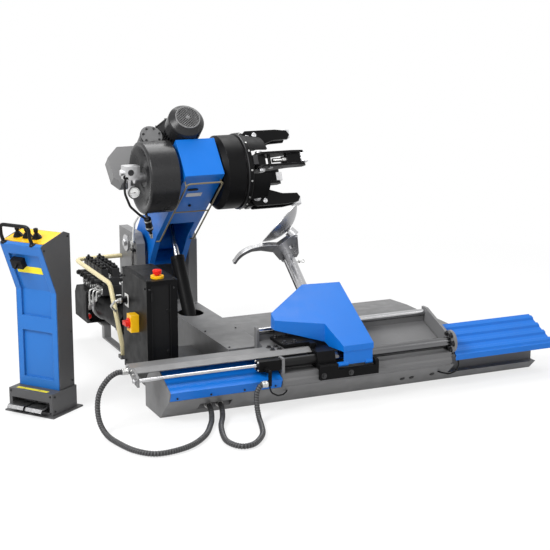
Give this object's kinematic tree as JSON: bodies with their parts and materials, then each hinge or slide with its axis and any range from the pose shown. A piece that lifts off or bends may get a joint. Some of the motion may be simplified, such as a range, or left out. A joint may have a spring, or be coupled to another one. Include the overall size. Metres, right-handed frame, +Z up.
{
  "type": "tire changer machine",
  "caption": "Heavy-duty tire changer: slant bed with a sliding tool carriage, lifting chuck arm with swinging jaws, hydraulic unit, cabinet and a separate control pedestal.",
  "frame": {"origin": "middle of the bed's floor face", "axes": "+X along the rails to the right, +Y to the back, +Z up"},
  "size_m": [3.1038, 2.455, 1.5318],
  "materials": {
    "blue_paint": "glossy powder coat",
    "grey_paint": "satin paint",
    "light_grey_paint": "satin paint",
    "black_paint": "satin paint",
    "dark_casting": "painted casting",
    "black_plastic": "fine grain",
    "bright_steel": "machined",
    "chrome": "hard chrome, polished",
    "cream_paint": "glossy paint",
    "yellow_paint": "glossy paint",
    "red_plastic": "glossy",
    "hose_rubber": "ribbed rubber"
  },
  "bodies": {
    "base": {"base_frame": "grey_paint", "front_cover": "blue_paint", "slant_bed": "grey_paint", "front_guide_tube": "chrome", "rear_rest_bar": "chrome", "bar_brackets": "light_grey_paint", "gland_block": "black_paint", "ribbed_cover": "blue_paint", "wheel_platform": "grey_paint", "lift_housing": "light_grey_paint", "tower": "grey_paint", "pivot_pins": "bright_steel", "control_cabinet": "black_paint", "cabinet_cover": "black_plastic", "safety_bases": "yellow_paint", "hydraulic_tank": "black_paint", "pump_motor": "black_paint", "valve_stack": "dark_casting", "pump_bracket": "light_grey_paint", "guard_tube": "cream_paint", "pedestal_base": "grey_paint", "pedestal_shell": "grey_paint", "pedestal_front": "blue_paint", "pedestal_top": "yellow_paint", "pedestal_handle": "black_paint", "lever_box": "black_plastic", "hose_short": "hose_rubber", "hose_long": "hose_rubber"},
    "carriage": {"carriage_block": "black_paint", "carriage_beam": "grey_paint", "beam_end_plate": "black_paint", "piston_rod": "chrome"},
    "tool_arm": {"tool_hood": "blue_paint", "hood_front": "blue_paint", "tool_post": "chrome", "post_housing": "black_paint"},
    "turning_head": {"tool_head": "bright_steel", "mount_hook": "bright_steel"},
    "disc": {"bead_disc": "chrome"},
    "chuck_arm": {"arm_box": "blue_paint", "gearbox_casing": "dark_casting", "drive_motor": "dark_casting", "fan_cover": "black_plastic", "belt_guard": "light_grey_paint", "rotary_union": "bright_steel", "wire_guard": "cream_paint"},
    "barrel": {"lift_barrel": "black_paint"},
    "rod": {"lift_rod": "chrome"},
    "chuck": {"chuck_drum": "black_paint"},
    "jaw_1_body": {"jaw_1": "black_paint"},
    "jaw_2_body": {"jaw_2": "black_paint"},
    "jaw_3_body": {"jaw_3": "black_paint"},
    "jaw_4_body": {"jaw_4": "black_paint"},
    "estop_button_body": {"estop_button": "red_plastic"},
    "switch_knob_body": {"switch_knob": "red_plastic"},
    "joystick_1_body": {"joystick_1": "black_plastic"},
    "joystick_2_body": {"joystick_2": "black_plastic"},
    "joystick_3_body": {"joystick_3": "black_plastic"},
    "pedal_left_body": {"pedal_left": "bright_steel"},
    "pedal_right_body": {"pedal_right": "bright_steel"}
  },
  "joints": [
    {"name": "carriage_slide", "type": "slide", "parent": "base", "child": "carriage", "axis": [1, 0, 0], "range_m": [-0.19, 0.48], "deforming": ["hose_long"]},
    {"name": "tool_arm_tilt", "type": "hinge", "parent": "carriage", "child": "tool_arm", "pos_m": [-0.09, -0.28, 0.222], "axis": [1, 0, 0], "range_deg": [0, 40]},
    {"name": "tool_head_turn", "type": "hinge", "parent": "tool_arm", "child": "turning_head", "pos_m": [-0.16, 0.44476, 0.67132], "axis": [0, 0.7986, 0.6018], "range_deg": [0, 180]},
    {"name": "disc_spin", "type": "hinge", "parent": "turning_head", "child": "disc", "pos_m": [-0.231, 0.40327, 0.88922], "axis": [0.6197, -0.4403, -0.6497], "continuous": true},
    {"name": "arm_lift", "type": "hinge", "parent": "base", "child": "chuck_arm", "pos_m": [-0.6, 1.5, 0.615], "axis": [1, 0, 0], "range_deg": [-22, 6]},
    {"name": "lift_tilt", "type": "hinge", "parent": "base", "child": "barrel", "pos_m": [-0.585, 0.868, 0.1], "axis": [1, 0, 0], "range_deg": [-2.5, 1]},
    {"name": "lift_extend", "type": "slide", "parent": "barrel", "child": "rod", "axis": [0, 0.537, 0.8436], "range_m": [-0.03, 0.1]},
    {"name": "chuck_spin", "type": "hinge", "parent": "chuck_arm", "child": "chuck", "pos_m": [-0.47, 0.85972, 1.12955], "axis": [1, 0, 0], "continuous": true},
    {"name": "jaw_1_swing", "type": "hinge", "parent": "chuck", "child": "jaw_1_body", "pos_m": [-0.23, 0.93465, 1.29321], "axis": [0, -0.9092, 0.4163], "range_deg": [-12, 17]},
    {"name": "jaw_2_swing", "type": "hinge", "parent": "chuck", "child": "jaw_2_body", "pos_m": [-0.23, 0.69606, 1.20447], "axis": [0, -0.4163, -0.9092], "range_deg": [-12, 17]},
    {"name": "jaw_3_swing", "type": "hinge", "parent": "chuck", "child": "jaw_3_body", "pos_m": [-0.23, 0.78479, 0.96588], "axis": [0, 0.9092, -0.4163], "range_deg": [-12, 17]},
    {"name": "jaw_4_swing", "type": "hinge", "parent": "chuck", "child": "jaw_4_body", "pos_m": [-0.23, 1.02338, 1.05461], "axis": [0, 0.4163, 0.9092], "range_deg": [-12, 17]},
    {"name": "estop_press", "type": "slide", "parent": "base", "child": "estop_button_body", "axis": [0, 0, -1], "range_m": [0, 0.006], "stiffness_N_per_m": 1500},
    {"name": "main_switch_turn", "type": "hinge", "parent": "base", "child": "switch_knob_body", "pos_m": [-1.22, 0.247, 0.438], "axis": [-1, 0, 0], "range_deg": [0, 90]},
    {"name": "joystick_1_tilt", "type": "hinge", "parent": "base", "child": "joystick_1_body", "pos_m": [-1.77897, 0.3245, 0.95554], "axis": [0.6032, -0.7976, 0], "range_deg": [-15, 15], "stiffness_Nm_per_rad": 2},
    {"name": "joystick_2_tilt", "type": "hinge", "parent": "base", "child": "joystick_2_body", "pos_m": [-1.74157, 0.27505, 0.95554], "axis": [0.6032, -0.7976, 0], "range_deg": [-15, 15], "stiffness_Nm_per_rad": 2},
    {"name": "joystick_3_tilt", "type": "hinge", "parent": "base", "child": "joystick_3_body", "pos_m": [-1.70417, 0.2256, 0.95554], "axis": [0.6032, -0.7976, 0], "range_deg": [-15, 15], "stiffness_Nm_per_rad": 2},
    {"name": "pedal_left_press", "type": "hinge", "parent": "base", "child": "pedal_left_body", "pos_m": [-1.76155, 0.31009, 0.051], "axis": [0.6032, -0.7976, 0], "range_deg": [0, 12], "stiffness_Nm_per_rad": 20, "springref_deg": -8.59},
    {"name": "pedal_right_press", "type": "hinge", "parent": "base", "child": "pedal_right_body", "pos_m": [-1.68917, 0.21438, 0.051], "axis": [0.6032, -0.7976, 0], "range_deg": [0, 12], "stiffness_Nm_per_rad": 20, "springref_deg": -8.59}
  ],
  "couplings": [
    {"joint": "lift_tilt", "follows": "arm_lift", "ratio": 0.09},
    {"joint": "lift_extend", "follows": "arm_lift", "m_per_rad": -0.2464},
    {"joint": "jaw_2_swing", "follows": "jaw_1_swing", "ratio": 1},
    {"joint": "jaw_3_swing", "follows": "jaw_1_swing", "ratio": 1},
    {"joint": "jaw_4_swing", "follows": "jaw_1_swing", "ratio": 1}
  ]
}
